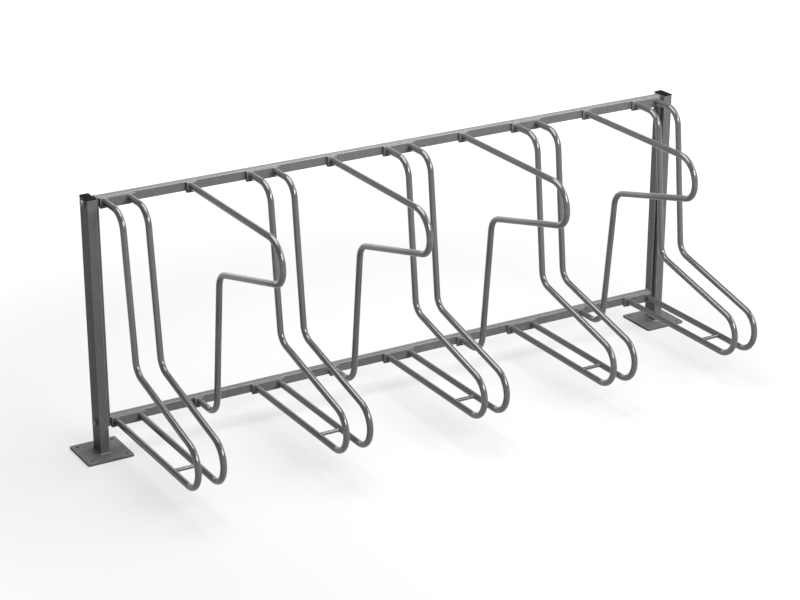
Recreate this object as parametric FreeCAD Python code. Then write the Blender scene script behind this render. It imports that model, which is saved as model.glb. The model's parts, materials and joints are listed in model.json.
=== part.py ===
import FreeCAD, Part
import math
import os

# A floor bike rack for a row of bicycles that all stand on one side of it, in millimetres.
# +X runs along the row, -Y points to the side where the bicycles come in, and +Z is up.
# The origin is on the floor, under the middle of the rack's bounding box.
# "Forward" below is a distance towards the bicycles from the row plane, which is the
# vertical plane through the middle of both posts and both rails.

# The row of places
places = 5
place_pitch = 480
end_gap = 2  # between an end plate and the bracket beside it
rack_height = 830  # from the floor to the top of the post caps

# Posts, each a rectangular tube welded upright on a square base plate
post_width = 30  # along the row
post_depth = 60
post_wall = 2.5
post_corner = 3.5
base_plate_size = 150
base_plate_thickness = 8
base_plate_corner = 3
anchor_hole = 12
anchor_spacing = 114

# Plastic caps that close the posts
cap_head = 3
cap_chamfer = 1
cap_plug_wall = 2
cap_clearance = 0.25  # between the plug and the post's walls
cap_bolt_gap = 2  # between the plug and the bolt below it

# Rails, each a rectangular tube between the posts
rail_height = 30
rail_depth = 25
rail_wall = 2
rail_corner = 3
lower_rail_axis = 105  # above the floor

# Flat end plates that close both rails, and the bolts that hold them to the posts
end_plate_thickness = 6
end_plate_width = 30
bolt_diameter = 10
bolt_clearance = 1  # of a bolt hole over its bolt
bolt_head_flats = 17
bolt_head_height = 6.4
bolt_head_chamfer = 0.4  # from the flats in to the round face on top
bolt_chamfer_angle = 30  # in degrees, between the chamfer's cone and that face
bolt_tip = 3  # of the thread past its nut
thread_clearance = 0.1  # of a nut's bore over the bolt
washer_diameter = 20
washer_thickness = 2
spacer_diameter = 20
spacer_length = 6
nut_flats = 17
nut_height = 8

# Round tube of the hoops and the lock bars
tube_diameter = 20
tube_wall = 2

# Wheel hoops, two for each place. Their points are the corners of the tube's centre line.
tyre_gap = 60  # clear width between the two hoops of a place
hoop_reach = 610  # forward to the hoops' foremost surface
hoop_shoulder = 142  # forward to the corner at the upper rail's height
hoop_shoulder_bend = 60
hoop_knee = 194
hoop_knee_height = 331
hoop_knee_bend = 50
hoop_nose_bend = 70

# Round bars that tie the lower legs of each pair of hoops
tie_diameter = 12
tie_forward = 422

# Lock bars, one between each two neighbouring places
lock_reach = 614  # forward to the bars' foremost surface
lock_shoulder_bend = 78
lock_front_run = 2  # straight between the two bends at the front
lock_chin_bend = 54
lock_elbow = 194
lock_elbow_drop = 225  # of the corner behind the loop, below the upper rail's axis
lock_elbow_bend = 56
lock_heel = 143
lock_heel_bend = 63

# Bracket bars between the rails and the tube ends
bracket_thickness = 10
bracket_height = 32
bracket_drop = 3  # of a bracket's middle below its rail's axis
bracket_margin = 16  # from a tube's centre line to the bracket's end
bracket_chamfer = 1

# Places worked out from the sizes above
place_middles = [(i - (places - 1) / 2) * place_pitch for i in range(places)]
lock_middles = [x + place_pitch / 2 for x in place_middles[:-1]]
hoop_offset = (tyre_gap + tube_diameter) / 2
rail_end = place_middles[-1] + hoop_offset + bracket_margin + end_gap
end_plate_outer_face = rail_end + end_plate_thickness
post_inner_face = end_plate_outer_face + spacer_length
post_axis = post_inner_face + post_width / 2
post_outer_face = post_inner_face + post_width
row_y = (max(hoop_reach, lock_reach) - base_plate_size / 2) / 2
post_top = rack_height - cap_head
cap_plug_depth = (rail_height - bolt_diameter) / 2 - cap_bolt_gap
upper_rail_axis = post_top - rail_height / 2
rail_axes = {"upper": upper_rail_axis, "lower": lower_rail_axis}
sides = {"left": -1, "right": 1}
rail_face = rail_depth / 2
tube_end = rail_face + bracket_thickness

along_row = FreeCAD.Vector(1, 0, 0)
to_back = FreeCAD.Vector(0, 1, 0)
upward = FreeCAD.Vector(0, 0, 1)


def at(x, forward, z):
    """The point at x along the row, so far forward of the row plane, and at height z."""
    return FreeCAD.Vector(x, row_y - forward, z)


def rounded_bar(size, along, corner):
    """A bar centred on the origin, whose four edges that run along one axis are rounded."""
    bar = Part.makeBox(size.x, size.y, size.z, size * -0.5)
    edges = [e for e in bar.Edges if e.tangentAt(e.FirstParameter).isParallel(along, 0.001)]
    return bar.makeFillet(corner, edges)


def square_tube(size, along, wall, corner):
    """A hollow rectangular tube centred on the origin, open at both of its ends."""
    across = FreeCAD.Vector(1, 1, 1) - along
    bore = rounded_bar(size - across * 2 * wall, along, corner - wall)
    return rounded_bar(size, along, corner).cut(bore)


def chamfered_block(size, chamfer, face_normal):
    """A block centred on the origin, with a chamfer round the face on the given side."""
    block = Part.makeBox(size.x, size.y, size.z, size * -0.5)
    face = max(block.Faces, key=lambda f: f.CenterOfMass.dot(face_normal))
    return block.makeChamfer(chamfer, face.Edges)


def rod(diameter, start, direction, length):
    """A solid round rod."""
    return Part.makeCylinder(diameter / 2, length, start, direction)


def hexagon(flats, start, direction, height):
    """A hexagonal prism, with its corners at the two ends of the vertical."""
    corners = []
    for i in range(7):
        turn = math.radians(60 * i)
        out = upward * math.cos(turn) + direction.cross(upward) * math.sin(turn)
        corners.append(start + out * (flats / math.sqrt(3)))
    return Part.Face(Part.makePolygon(corners)).extrude(direction * height)


def bent_path(corners):
    """A wire of straight runs joined by tangent arcs, from (point, bend radius) corners."""
    edges = []
    run_start = corners[0][0]
    for i in range(1, len(corners) - 1):
        corner, radius = corners[i]
        back = (corners[i - 1][0] - corner).normalize()
        ahead = (corners[i + 1][0] - corner).normalize()
        half_angle = back.getAngle(ahead) / 2
        arc_start = corner + back * (radius / math.tan(half_angle))
        arc_end = corner + ahead * (radius / math.tan(half_angle))
        inward = (back + ahead).normalize()
        arc_middle = corner + inward * (radius / math.sin(half_angle) - radius)
        edges.append(Part.LineSegment(run_start, arc_start).toShape())
        edges.append(Part.Arc(arc_start, arc_middle, arc_end).toShape())
        run_start = arc_end
    edges.append(Part.LineSegment(run_start, corners[-1][0]).toShape())
    return Part.Wire(edges)


def bent_tube(corners):
    """A hollow round tube swept along the bent path through the corners."""
    path = bent_path(corners)
    start = corners[0][0]
    direction = corners[1][0] - start
    swept = []
    for radius in (tube_diameter / 2, tube_diameter / 2 - tube_wall):
        section = Part.Wire(Part.makeCircle(radius, start, direction))
        swept.append(path.makePipeShell([section], True, False))
    return swept[0].cut(swept[1])


def post(side):
    height = post_top - base_plate_thickness
    size = FreeCAD.Vector(post_width, post_depth, height)
    tube = square_tube(size, upward, post_wall, post_corner)
    tube.translate(at(side * post_axis, 0, base_plate_thickness + height / 2))
    return tube.cut(Part.makeCompound(bolt_holes(side)))


def bolt_holes(side):
    """The holes for the two bolts that go through one post into the rails' end plate."""
    outward = along_row * side
    holes = []
    for rail_axis in rail_axes.values():
        start = at(side * rail_end, 0, rail_axis)
        holes.append(rod(bolt_diameter + bolt_clearance, start, outward, post_outer_face - rail_end))
    return holes


def base_plate(side):
    size = FreeCAD.Vector(base_plate_size, base_plate_size, base_plate_thickness)
    plate = rounded_bar(size, upward, base_plate_corner)
    reach = anchor_spacing / 2
    for x in (-reach, reach):
        for y in (-reach, reach):
            start = FreeCAD.Vector(x, y, -base_plate_thickness / 2)
            plate = plate.cut(rod(anchor_hole, start, upward, base_plate_thickness))
    plate.translate(at(side * post_axis, 0, base_plate_thickness / 2))
    return plate


def post_cap(side):
    """A plastic cap: a head as large as the post, on a hollow plug that fits inside it."""
    head_size = FreeCAD.Vector(post_width, post_depth, cap_head)
    head = chamfered_block(head_size, cap_chamfer, upward)
    head.translate(upward * (cap_head / 2))
    inset = 2 * (post_wall + cap_clearance)
    plug_size = FreeCAD.Vector(post_width - inset, post_depth - inset, cap_plug_depth)
    plug = square_tube(plug_size, upward, cap_plug_wall, cap_plug_wall + cap_clearance)
    plug.translate(upward * (-cap_plug_depth / 2))
    cap = head.fuse(plug)
    cap.translate(at(side * post_axis, 0, post_top))
    return cap


def rail(rail_axis):
    size = FreeCAD.Vector(2 * rail_end, rail_depth, rail_height)
    tube = square_tube(size, along_row, rail_wall, rail_corner)
    tube.translate(at(0, 0, rail_axis))
    return tube


def end_plate(side):
    """An upright flat bar, as tall as from the lower rail's underside to the upper rail's top."""
    bottom = lower_rail_axis - rail_height / 2
    size = FreeCAD.Vector(end_plate_thickness, end_plate_width, post_top - bottom)
    plate = Part.makeBox(size.x, size.y, size.z, size * -0.5)
    middle = rail_end + end_plate_thickness / 2
    plate.translate(at(side * middle, 0, (post_top + bottom) / 2))
    return plate.cut(Part.makeCompound(bolt_holes(side)))


def at_each_bolt(make):
    """One group of solids, made once for each rail at each end of the row."""
    return Part.makeCompound(
        [make(side, axis) for side in sides.values() for axis in rail_axes.values()]
    )


def frame_bolt(side, rail_axis):
    """A hexagon bolt from a post's outer face through to the nut in the rail's end."""
    outward = along_row * side
    tip = at(side * (rail_end - nut_height - bolt_tip), 0, rail_axis)
    shank_length = post_outer_face + washer_thickness - rail_end + nut_height + bolt_tip
    shank = rod(bolt_diameter, tip, outward, shank_length)
    head_start = tip + outward * shank_length
    head = hexagon(bolt_head_flats, head_start, outward, bolt_head_height)
    face_radius = bolt_head_flats / 2 - bolt_head_chamfer
    foot_radius = face_radius + bolt_head_height / math.tan(math.radians(bolt_chamfer_angle))
    cone = Part.makeCone(foot_radius, face_radius, bolt_head_height, head_start, outward)
    return head.common(cone).fuse(shank)


def ring(diameter, bore, start, direction, length):
    """A round ring with a through bore."""
    return rod(diameter, start, direction, length).cut(rod(bore, start, direction, length))


def washer(side, rail_axis):
    start = at(side * post_outer_face, 0, rail_axis)
    bore = bolt_diameter + bolt_clearance
    return ring(washer_diameter, bore, start, along_row * side, washer_thickness)


def spacer(side, rail_axis):
    start = at(side * end_plate_outer_face, 0, rail_axis)
    bore = bolt_diameter + bolt_clearance
    return ring(spacer_diameter, bore, start, along_row * side, spacer_length)


def weld_nut(side, rail_axis):
    """A hexagon nut welded to the end plate, inside the rail."""
    inward = along_row * -side
    start = at(side * rail_end, 0, rail_axis)
    nut = hexagon(nut_flats, start, inward, nut_height)
    return nut.cut(rod(bolt_diameter + thread_clearance, start, inward, nut_height))


def slope_to_bend(run, rise, bend):
    """The slope of a straight run that starts so far from a bend's centre and touches its outside."""
    return math.atan2(rise, run) - math.asin(bend / math.hypot(run, rise))


def wheel_hoop(x):
    """A hoop from the upper rail forward, down past its knee to the nose, and back to the lower rail."""
    nose_forward = hoop_reach - tube_diameter / 2 - hoop_nose_bend
    nose_height = lower_rail_axis + hoop_nose_bend
    slope = slope_to_bend(nose_forward - hoop_knee, hoop_knee_height - nose_height, hoop_nose_bend)
    meeting = hoop_knee + (hoop_knee_height - lower_rail_axis) / math.tan(slope)
    return bent_tube(
        [
            (at(x, tube_end, upper_rail_axis), None),
            (at(x, hoop_shoulder, upper_rail_axis), hoop_shoulder_bend),
            (at(x, hoop_knee, hoop_knee_height), hoop_knee_bend),
            (at(x, meeting, lower_rail_axis), hoop_nose_bend),
            (at(x, tube_end, lower_rail_axis), None),
        ]
    )


def lock_bar(x):
    """A bar from the upper rail forward, round a flat front loop, and down to the lower rail."""
    front = lock_reach - tube_diameter / 2
    elbow_height = upper_rail_axis - lock_elbow_drop
    chin_rise = lock_elbow_drop - lock_shoulder_bend - lock_front_run
    slope = slope_to_bend(front - lock_chin_bend - lock_elbow, chin_rise, lock_chin_bend)
    chin_height = elbow_height + (front - lock_elbow) * math.tan(slope)
    return bent_tube(
        [
            (at(x, tube_end, upper_rail_axis), None),
            (at(x, front, upper_rail_axis), lock_shoulder_bend),
            (at(x, front, chin_height), lock_chin_bend),
            (at(x, lock_elbow, elbow_height), lock_elbow_bend),
            (at(x, lock_heel, lower_rail_axis), lock_heel_bend),
            (at(x, tube_end, lower_rail_axis), None),
        ]
    )


def hoop_tie(place_x):
    """A round bar between two hoops' lower legs, with its ends cut to saddle the tubes."""
    start = at(place_x - hoop_offset, tie_forward, lower_rail_axis)
    tie = rod(tie_diameter, start, along_row, 2 * hoop_offset)
    for offset in (-hoop_offset, hoop_offset):
        leg_start = at(place_x + offset, tie_forward + tie_diameter, lower_rail_axis)
        tie = tie.cut(rod(tube_diameter, leg_start, to_back, 2 * tie_diameter))
    return tie


def bracket(x, rail_axis, tube_spacing):
    """A flat bar on a rail's front face, as wide as the tubes that end on it need."""
    width = tube_spacing + 2 * bracket_margin
    size = FreeCAD.Vector(width, bracket_thickness, bracket_height)
    block = chamfered_block(size, bracket_chamfer, -to_back)
    block.translate(at(x, rail_face + bracket_thickness / 2, rail_axis - bracket_drop))
    return block


def make_pieces():
    """Every piece of the rack, by the name of its node."""
    pieces = {
        "frame_bolts": at_each_bolt(frame_bolt),
        "bolt_washers": at_each_bolt(washer),
        "post_spacers": at_each_bolt(spacer),
        "weld_nuts": at_each_bolt(weld_nut),
    }
    for name, side in sides.items():
        pieces["post_" + name] = post(side)
        pieces["base_plate_" + name] = base_plate(side)
        pieces["post_cap_" + name] = post_cap(side)
        pieces["end_plate_" + name] = end_plate(side)
    for level, rail_axis in rail_axes.items():
        pieces["rail_" + level] = rail(rail_axis)
        for number, x in enumerate(place_middles, 1):
            pieces[f"hoop_bracket_{level}_{number}"] = bracket(x, rail_axis, 2 * hoop_offset)
        for number, x in enumerate(lock_middles, 1):
            pieces[f"lock_bracket_{level}_{number}"] = bracket(x, rail_axis, 0)
    for number, x in enumerate(place_middles, 1):
        pieces[f"hoop_tie_{number}"] = hoop_tie(x)
        for name, side in sides.items():
            pieces[f"hoop_{number}_{name}"] = wheel_hoop(x + side * hoop_offset)
    for number, x in enumerate(lock_middles, 1):
        pieces[f"lock_bar_{number}"] = lock_bar(x)
    return pieces


os.makedirs("parts", exist_ok=True)
for name, shape in make_pieces().items():
    shape.exportStep("parts/" + name + ".step")
    solids = len(shape.Solids)
    print(f"{name}: {solids} solid(s), valid {shape.isValid()}, {shape.Volume / 1000:.1f} cm3")
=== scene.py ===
import json
import math

import bmesh
import bpy
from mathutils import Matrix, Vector


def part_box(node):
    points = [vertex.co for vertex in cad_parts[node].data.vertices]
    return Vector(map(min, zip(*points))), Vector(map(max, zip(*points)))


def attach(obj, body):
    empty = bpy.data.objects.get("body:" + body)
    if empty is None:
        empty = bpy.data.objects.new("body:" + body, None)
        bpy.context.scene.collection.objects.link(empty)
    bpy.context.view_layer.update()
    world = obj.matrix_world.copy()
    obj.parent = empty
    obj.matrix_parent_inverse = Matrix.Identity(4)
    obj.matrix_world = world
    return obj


# The looks of a floor bike rack: its finishes, weld beads, floor, light and camera.
# All lengths are in metres, in the rack's own frame: +X along the row, -Y towards the
# side where the bicycles come in, +Z up from the floor.

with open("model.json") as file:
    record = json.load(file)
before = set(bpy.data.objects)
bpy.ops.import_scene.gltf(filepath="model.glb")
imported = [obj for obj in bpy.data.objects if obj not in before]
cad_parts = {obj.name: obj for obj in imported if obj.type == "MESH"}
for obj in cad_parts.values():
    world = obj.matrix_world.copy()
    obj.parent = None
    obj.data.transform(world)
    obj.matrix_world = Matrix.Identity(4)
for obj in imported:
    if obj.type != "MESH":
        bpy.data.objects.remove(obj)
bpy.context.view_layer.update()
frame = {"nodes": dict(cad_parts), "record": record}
nodes = frame["nodes"]
along_row = Vector((1, 0, 0))
to_back = Vector((0, 1, 0))
upward = Vector((0, 0, 1))
sides = {"left": -1, "right": 1}
levels = ("upper", "lower")
places = sum(node.startswith("hoop_tie_") for node in nodes)
lock_bars = sum(node.startswith("lock_bar_") for node in nodes)

# The camera of the photograph, with its lens and sensor in millimetres
camera_place = Vector((-3.343, -5.433, 2.957))
camera_aim = Vector((-0.127, 0.028, 0.4))
camera_lens = 99.0
camera_sensor = 36.0

# How light the finishes are, from 0 for black to 1 for white
coat_grey = 0.15
tube_grey = 0.10
bolt_grey = 0.26
cap_black = 0.004

# The patterns in the steel's coat, and the share by which each changes its tone and roughness
grain_size = 0.0011
grain_detail = 2.0
grain_tone = 0.10
grain_roughness = 0.08
spangle_size = 0.012
spangle_tone = 0.04
cloud_size = 0.35
cloud_detail = 3.0
cloud_tone = 0.05
cloud_roughness = 0.10
pattern_range = (0.25, 0.75)
coat_relief = 0.00008

# Worn edges are made lighter, which also paints a highlight along every rounded edge. Both reach
# edge_radius in from an edge.
# edge_range says how squarely the rounded normal points along an axis where the lightening begins, and
# where it is full.
edge_radius = 0.0012
edge_samples = 6
edge_range = (0.97, 0.80)

# The caps' moulded grain, and the dust on it, which makes them up to dust_factor lighter
cap_grain_size = 1 / 1100
cap_relief = 0.0002
cap_bump = 0.35
cap_roughness = 0.8
cap_specular = 0.05
dust_size = 1 / 60
dust_detail = 4.0
dust_range = (0.3, 0.7)
dust_factor = 1.8

# The legs of the weld beads
weld_leg = 0.0026
tie_weld_leg = 0.0018
post_weld_leg = 0.004
bracket_weld_leg = 0.0036

# The shape of a bead: a flatness of 0 gives it the section of a quarter circle, and 1 a flat slope
weld_flatness = 0.6
weld_facets = 6
weld_sink = 0.0001
weld_step = 0.0005
ripple_length = 0.0028
ripple_height = 0.16
ripple_mean = 0.6

# The corners of the tubes that beads go round, and the bare stretch at a straight bead's ends
post_corner = 0.0035
rail_corner = 0.003
end_weld_inset = 0.004

# The floor glows least up to near_floor from the rack's middle, and is white past far_floor
white = 1.0
floor_size = 80.0
floor_grey = 0.30
floor_glow = 0.53
near_floor = 1.2
far_floor = 3.2

# The studio is white up to horizon_height and dim from zenith_height on, both as the sine of the
# angle above the level, and lights the rack evenly by ambient
horizon_height = 0.20
zenith_height = 0.40
zenith_glow = 0.25
ambient = 0.08

# Where most lamps point
rack_middle = (0, 0, 0.4)


def add_node(tree, kind, settings=None, inputs=None):
    """A new shader node, with its settings and its inputs: numbers, or sockets to link."""
    node = tree.nodes.new(kind)
    for key, value in (settings or {}).items():
        setattr(node, key, value)
    for key, value in (inputs or {}).items():
        if isinstance(value, bpy.types.NodeSocket):
            tree.links.new(value, node.inputs[key])
        else:
            node.inputs[key].default_value = value
    return node


def combine(tree, operation, first, second):
    """One socket from two numbers or sockets, such as their product."""
    return add_node(tree, "ShaderNodeMath", {"operation": operation}, {0: first, 1: second}).outputs[0]


def ranged(tree, value, old_range, new_range, curve="LINEAR"):
    """The value moved from one range to another, and held inside it."""
    inputs = {
        "Value": value,
        "From Min": old_range[0],
        "From Max": old_range[1],
        "To Min": new_range[0],
        "To Max": new_range[1],
    }
    return add_node(tree, "ShaderNodeMapRange", {"interpolation_type": curve}, inputs).outputs["Result"]


def noise(tree, place, size, detail):
    """Soft patches of about the given size."""
    inputs = {"Vector": place, "Scale": 1 / size, "Detail": detail}
    return add_node(tree, "ShaderNodeTexNoise", inputs=inputs).outputs["Fac"]


def cells(tree, place, size):
    """The outputs of a pattern of cells of about the given size."""
    return add_node(tree, "ShaderNodeTexVoronoi", inputs={"Vector": place, "Scale": 1 / size}).outputs


def varied(tree, amount, patterns):
    """The amount, made less and more by patterns, each of which has a share to change it by."""
    factors = [ranged(tree, pattern, pattern_range, (1 - share, 1 + share)) for pattern, share in patterns]
    product = factors[0]
    for factor in factors[1:] + [amount]:
        product = combine(tree, "MULTIPLY", product, factor)
    return product


def worn_and_highlit_edges(tree, edge_wear_and_highlight):
    """The normal, rounded over the edges, and the factor by which the edges are lighter: partly wear,
    partly a painted highlight.
    """
    rounded = add_node(tree, "ShaderNodeBevel", {"samples": edge_samples}, {"Radius": edge_radius})
    normal = rounded.outputs["Normal"]
    size = add_node(tree, "ShaderNodeVectorMath", {"operation": "ABSOLUTE"}, {0: normal}).outputs[0]
    parts = add_node(tree, "ShaderNodeSeparateXYZ", inputs={"Vector": size}).outputs
    squareness = combine(tree, "MAXIMUM", combine(tree, "MAXIMUM", parts["X"], parts["Y"]), parts["Z"])
    return normal, ranged(tree, squareness, edge_range, (1.0, 1.0 + edge_wear_and_highlight))


def new_material(name):
    """A new material, its node tree and its shader."""
    material = bpy.data.materials.new(name)
    material.use_nodes = True
    tree = material.node_tree
    return material, tree, tree.nodes["Principled BSDF"]


def set_tone(tree, shader, tone):
    """Makes the shader a neutral grey of the given tone."""
    inputs = {"Red": tone, "Green": tone, "Blue": tone}
    colour = add_node(tree, "ShaderNodeCombineColor", inputs=inputs).outputs["Color"]
    tree.links.new(colour, shader.inputs["Base Color"])


def set_bump(tree, shader, bump_inputs):
    """Gives the shader a bump."""
    bump = add_node(tree, "ShaderNodeBump", inputs=bump_inputs)
    tree.links.new(bump.outputs["Normal"], shader.inputs["Normal"])


def steel(name, grey, roughness, metallic, specular, edge_wear_and_highlight, bump):
    """A grey metallic coat over steel: fine grain, faint zinc spangle, clouds, and lighter edges that are
    partly wear and partly a painted highlight.
    """
    material, tree, shader = new_material(name)
    place = add_node(tree, "ShaderNodeTexCoord").outputs["Object"]
    grain = noise(tree, place, grain_size, grain_detail)
    spangle_colour = cells(tree, place, spangle_size)["Color"]
    spangle = add_node(tree, "ShaderNodeRGBToBW", inputs={"Color": spangle_colour}).outputs["Val"]
    cloud = noise(tree, place, cloud_size, cloud_detail)
    tone = varied(tree, grey, ((grain, grain_tone), (spangle, spangle_tone), (cloud, cloud_tone)))
    bump_inputs = {"Height": grain, "Strength": bump, "Distance": coat_relief}
    # Lighter edges: partly wear, partly a painted highlight along every rounded edge, whichever way the
    # light falls.
    if edge_wear_and_highlight:
        bump_inputs["Normal"], wear_and_highlight = worn_and_highlit_edges(tree, edge_wear_and_highlight)
        tone = combine(tree, "MULTIPLY", tone, wear_and_highlight)
    set_tone(tree, shader, tone)
    set_bump(tree, shader, bump_inputs)
    rough = varied(tree, roughness, ((grain, grain_roughness), (cloud, cloud_roughness)))
    tree.links.new(rough, shader.inputs["Roughness"])
    shader.inputs["Metallic"].default_value = metallic
    shader.inputs["Specular IOR Level"].default_value = specular
    return material


def plastic(name):
    """Black moulded plastic with a fine leather grain and a little dust."""
    material, tree, shader = new_material(name)
    place = add_node(tree, "ShaderNodeTexCoord").outputs["Object"]
    grain = cells(tree, place, cap_grain_size)["Distance"]
    dust = noise(tree, place, dust_size, dust_detail)
    set_tone(tree, shader, ranged(tree, dust, dust_range, (cap_black, cap_black * dust_factor)))
    set_bump(tree, shader, {"Height": grain, "Strength": cap_bump, "Distance": cap_relief})
    shader.inputs["Roughness"].default_value = cap_roughness
    shader.inputs["Specular IOR Level"].default_value = cap_specular
    return material


def make_finishes():
    """The finish of each of the record's material slots."""
    return {
        "frame_steel": steel(
            "frame_steel_coat", coat_grey,
            roughness=0.36, metallic=0.05, specular=0.03, edge_wear_and_highlight=0.9, bump=0.2,
        ),
        "tube_steel": steel(
            "tube_steel_coat", tube_grey,
            roughness=0.19, metallic=0.30, specular=0.90, edge_wear_and_highlight=0.0, bump=0.01,
        ),
        "fasteners": steel(
            "zinc_plated", bolt_grey,
            roughness=0.50, metallic=0.20, specular=0.20, edge_wear_and_highlight=0.3, bump=0.1,
        ),
        "cap_plastic": plastic("cap_plastic_grain"),
    }


def dress_nodes():
    """Gives each solid of the rack the finish of its slot."""
    for subpart in frame["record"]["subparts"]:
        node = nodes[subpart["node"]]
        node.data.materials.clear()
        node.data.materials.append(finishes[subpart["material_slot"]])


def make_camera():
    """The camera at the photograph's viewing angle."""
    data = bpy.data.cameras.new("camera")
    data.lens = camera_lens
    data.sensor_width = camera_sensor
    camera = bpy.data.objects.new("camera", data)
    camera.location = camera_place
    camera.rotation_euler = (camera_aim - camera_place).to_track_quat("-Z", "Y").to_euler()
    bpy.context.scene.collection.objects.link(camera)
    bpy.context.scene.camera = camera


def seen_or_mirrored(tree):
    """1 for rays from the camera, a mirror-like surface or a clear one, and 0 for other rays."""
    rays = add_node(tree, "ShaderNodeLightPath").outputs
    seen = rays["Is Camera Ray"]
    for other in ("Is Glossy Ray", "Is Transmission Ray"):
        seen = combine(tree, "MAXIMUM", seen, rays[other])
    return seen


def make_floor():
    """A wide white floor that shows shadows, and shows as white to the camera and in the metal."""
    bpy.ops.mesh.primitive_plane_add(size=floor_size)
    floor = bpy.context.object
    floor.name = "floor"
    material = bpy.data.materials.new("floor")
    material.use_nodes = True
    tree = material.node_tree
    tree.nodes.clear()
    colour = (floor_grey, floor_grey, floor_grey, 1)
    diffuse = add_node(tree, "ShaderNodeBsdfDiffuse", inputs={"Color": colour})
    place = add_node(tree, "ShaderNodeTexCoord").outputs["Object"]
    away = add_node(tree, "ShaderNodeVectorMath", {"operation": "LENGTH"}, {0: place}).outputs["Value"]
    glow = ranged(tree, away, (near_floor, far_floor), (floor_glow, white), "SMOOTHSTEP")
    glow = combine(tree, "MULTIPLY", seen_or_mirrored(tree), glow)
    light = add_node(tree, "ShaderNodeEmission", inputs={"Strength": glow})
    both = add_node(tree, "ShaderNodeAddShader", inputs={0: diffuse.outputs[0], 1: light.outputs[0]})
    add_node(tree, "ShaderNodeOutputMaterial", inputs={"Surface": both.outputs[0]})
    floor.data.materials.append(material)


def make_world():
    """A studio that is white round the horizon and dim overhead, with a weak even light of its own."""
    world = bpy.data.worlds.new("studio")
    world.use_nodes = True
    tree = world.node_tree
    background = tree.nodes["Background"]
    direction = add_node(tree, "ShaderNodeTexCoord").outputs["Generated"]
    height = add_node(tree, "ShaderNodeSeparateXYZ", inputs={"Vector": direction}).outputs["Z"]
    shown = ranged(tree, height, (horizon_height, zenith_height), (white, zenith_glow))
    strength = ranged(tree, seen_or_mirrored(tree), (0, 1), (ambient, shown))
    tree.links.new(strength, background.inputs["Strength"])
    background.inputs["Color"].default_value = (1, 1, 1, 1)
    bpy.context.scene.world = world


def softbox(name, place, aim, width, height, radiance):
    """A rectangular lamp whose face has the given radiance."""
    data = bpy.data.lights.new(name, "AREA")
    data.shape = "RECTANGLE"
    data.size = width
    data.size_y = height
    data.energy = radiance * width * height * math.pi
    lamp = bpy.data.objects.new(name, data)
    lamp.location = place
    lamp.visible_camera = False
    lamp.rotation_euler = (Vector(aim) - Vector(place)).to_track_quat("-Z", "Y").to_euler()
    bpy.context.scene.collection.objects.link(lamp)


def make_lamps():
    """Four softboxes: above the rails, in front, at the right and behind."""
    softbox("overhead", (0.0, 0.4, 2.6), aim=(0.0, 0.3, 0.4), width=2.2, height=1.8, radiance=6.2)
    softbox("front", (1.2, -4.8, 3.85), aim=rack_middle, width=4.2, height=2.1, radiance=12.5)
    softbox("right", (4.2, -1.7, 3.7), aim=rack_middle, width=3.0, height=2.2, radiance=6.0)
    softbox("behind", (0.6, 4.3, 1.6), aim=rack_middle, width=6.0, height=2.0, radiance=1.0)


def weld_section(corner, along_one, along_other, leg):
    """The outline of a bead in the corner of two faces, with its foot sunk into both."""
    points = [corner - (along_one + along_other) * weld_sink]
    for i in range(weld_facets + 1):
        turn = math.radians(90 * i / weld_facets)
        reach = leg / (math.cos(turn) + math.sin(turn)) ** weld_flatness
        sideways = along_one * (reach * math.cos(turn) - weld_sink)
        points.append(corner + sideways + along_other * (reach * math.sin(turn) - weld_sink))
    return points


def add_bead(mesh, run, closed, leg):
    """Adds one rippled bead. Its run is a list of (corner, direction on one face, on the other)."""
    rings = []
    travelled = 0.0
    for i, (corner, along_one, along_other) in enumerate(run):
        if i:
            travelled += (corner - run[i - 1][0]).length
        ripple = abs(math.sin(math.pi * travelled / ripple_length)) - ripple_mean
        section = weld_section(corner, along_one, along_other, leg * (1 + ripple_height * ripple))
        rings.append([mesh.verts.new(point) for point in section])
    last = len(rings) if closed else len(rings) - 1
    for i in range(last):
        ring, following = rings[i], rings[(i + 1) % len(rings)]
        for j in range(len(ring)):
            k = (j + 1) % len(ring)
            mesh.faces.new((ring[j], ring[k], following[k], following[j]))
    if not closed:
        mesh.faces.new(rings[0])
        mesh.faces.new(reversed(rings[-1]))


def weld_piece(name, beads, slot, leg=weld_leg):
    """A named piece of several beads, which rides on the rack."""
    mesh = bmesh.new()
    for run, closed in beads:
        add_bead(mesh, run, closed, leg)
    bmesh.ops.recalc_face_normals(mesh, faces=mesh.faces)
    data = bpy.data.meshes.new(name)
    mesh.to_mesh(data)
    mesh.free()
    data.shade_smooth()
    data.materials.append(finishes[slot])
    piece = bpy.data.objects.new(name, data)
    bpy.context.scene.collection.objects.link(piece)
    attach(piece, "root")


def turns_round(radius):
    """The angles of points round a circle, about a weld step apart."""
    count = round(2 * math.pi * radius / weld_step)
    return [2 * math.pi * i / count for i in range(count)]


def rounded_outline(half_width, half_height, corner):
    """Points round a rectangle with rounded corners, each with its outward direction."""
    outline = []
    for quarter in range(4):
        turn = math.pi / 2 * quarter
        out = Vector((math.cos(turn), math.sin(turn)))
        ahead = Vector((-out.y, out.x))
        reach, side = (half_width, half_height) if quarter % 2 == 0 else (half_height, half_width)
        steps = round(2 * (side - corner) / weld_step)
        for i in range(steps):
            along = (side - corner) * (2 * i / steps - 1)
            outline.append((out * reach + ahead * along, out))
        steps = round(math.pi / 2 * corner / weld_step)
        for i in range(steps):
            bend = math.pi / 2 * i / steps
            normal = out * math.cos(bend) + ahead * math.sin(bend)
            outline.append((out * (reach - corner) + ahead * (side - corner) + normal * corner, normal))
    return outline


def tube_end_beads(node):
    """Beads round both ends of a hoop or lock bar, on its two brackets."""
    low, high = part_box(node)
    radius = (high.x - low.x) / 2
    beads = []
    for height in (high.z - radius, low.z + radius):
        centre = Vector(((low.x + high.x) / 2, high.y, height))
        run = []
        for turn in turns_round(radius):
            out = along_row * math.cos(turn) + upward * math.sin(turn)
            run.append((centre + out * radius, out, -to_back))
        beads.append((run, True))
    return beads


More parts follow.
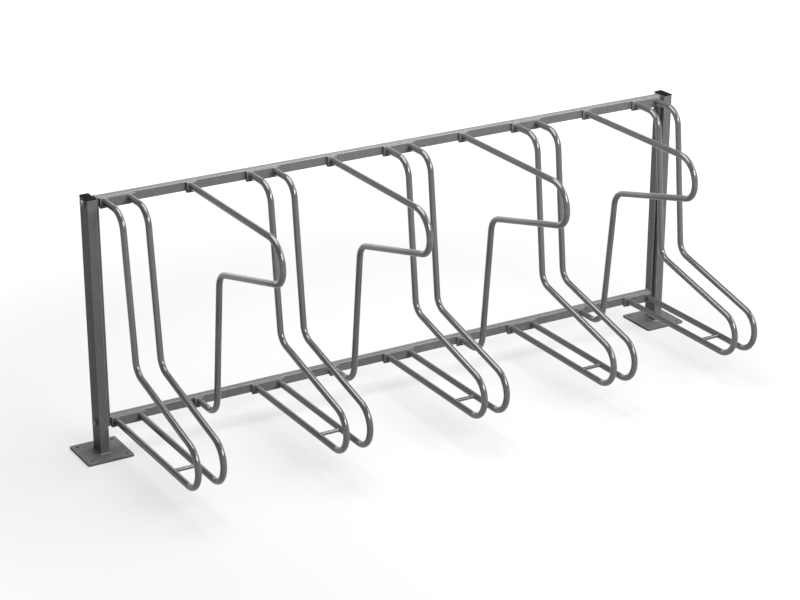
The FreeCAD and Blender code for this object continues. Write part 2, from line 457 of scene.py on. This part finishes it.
def tie_beads(place):
    """Beads round both ends of a tie bar, on the curve where it meets its two hoops."""
    low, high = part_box(f"hoop_tie_{place}")
    middle = (low + high) / 2
    radius = (high.z - low.z) / 2
    beads = []
    for name, side in sides.items():
        low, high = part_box(f"hoop_{place}_{name}")
        tube_centre = Vector(((low.x + high.x) / 2, middle.y, middle.z))
        tube_radius = (high.x - low.x) / 2
        run = []
        for turn in turns_round(radius):
            out = to_back * math.cos(turn) + upward * math.sin(turn)
            rise = radius * math.sin(turn)
            normal = Vector((-side * math.sqrt(tube_radius**2 - rise**2), 0, rise)) / tube_radius
            corner = tube_centre + normal * tube_radius + to_back * (radius * math.cos(turn))
            on_tube = (out - normal * out.dot(normal)).normalized()
            run.append((corner, on_tube, along_row * -side))
        beads.append((run, True))
    return beads


def post_beads(name):
    """A bead round a post's foot, on its base plate."""
    low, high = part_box("post_" + name)
    middle = (low + high) / 2
    run = []
    for point, out in rounded_outline((high.x - low.x) / 2, (high.y - low.y) / 2, post_corner):
        corner = Vector((middle.x + point.x, middle.y + point.y, low.z))
        run.append((corner, Vector((out.x, out.y, 0)), upward))
    return [(run, True)]


def end_plate_beads(name, side):
    """Beads between an end plate and both rails, along the rails' back and inner sides."""
    beads = []
    for level in levels:
        inner = -1 if level == "upper" else 1
        low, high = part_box("rail_" + level)
        middle = (low + high) / 2
        half_depth = (high.y - low.y) / 2
        half_height = (high.z - low.z) / 2
        run = []
        for point, out in rounded_outline(half_depth, half_height, rail_corner):
            inwards = point.y * inner
            on_back = point.x > half_depth - rail_corner and inwards > end_weld_inset - half_height
            on_inner = inwards > half_height - rail_corner and point.x > end_weld_inset - half_depth
            if on_back or on_inner:
                corner = Vector((side * high.x, middle.y + point.x, middle.z + point.y))
                run.append((corner, Vector((0, out.x, out.y)), along_row * -side))
        beads.append((run, False))
    return beads


def bracket_beads(level):
    """Beads under a rail, between it and the backs of its brackets."""
    rail_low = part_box("rail_" + level)[0]
    beads = []
    for node in nodes:
        if "_bracket_" + level in node:
            low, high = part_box(node)
            start = Vector((low.x + end_weld_inset, high.y, rail_low.z))
            length = high.x - low.x - 2 * end_weld_inset
            steps = round(length / weld_step)
            run = []
            for i in range(steps + 1):
                run.append((start + along_row * (length * i / steps), to_back, -upward))
            beads.append((run, False))
    return beads


def make_welds():
    """One piece of beads for each hoop, tie, lock bar, post and end plate, and for each rail's brackets."""
    for place in range(1, places + 1):
        for name in sides:
            hoop = f"hoop_{place}_{name}"
            weld_piece(hoop + "_welds", tube_end_beads(hoop), "tube_steel")
        weld_piece(f"hoop_tie_{place}_welds", tie_beads(place), "tube_steel", tie_weld_leg)
    for i in range(1, lock_bars + 1):
        lock_bar = f"lock_bar_{i}"
        weld_piece(lock_bar + "_welds", tube_end_beads(lock_bar), "tube_steel")
    for name, side in sides.items():
        weld_piece(f"post_{name}_welds", post_beads(name), "frame_steel", post_weld_leg)
        weld_piece(f"end_plate_{name}_welds", end_plate_beads(name, side), "frame_steel")
    for level in levels:
        weld_piece(f"bracket_{level}_welds", bracket_beads(level), "frame_steel", bracket_weld_leg)


finishes = make_finishes()
dress_nodes()
make_camera()
make_floor()
make_world()
make_welds()
make_lamps()
bpy.context.scene.view_settings.view_transform = "Standard"
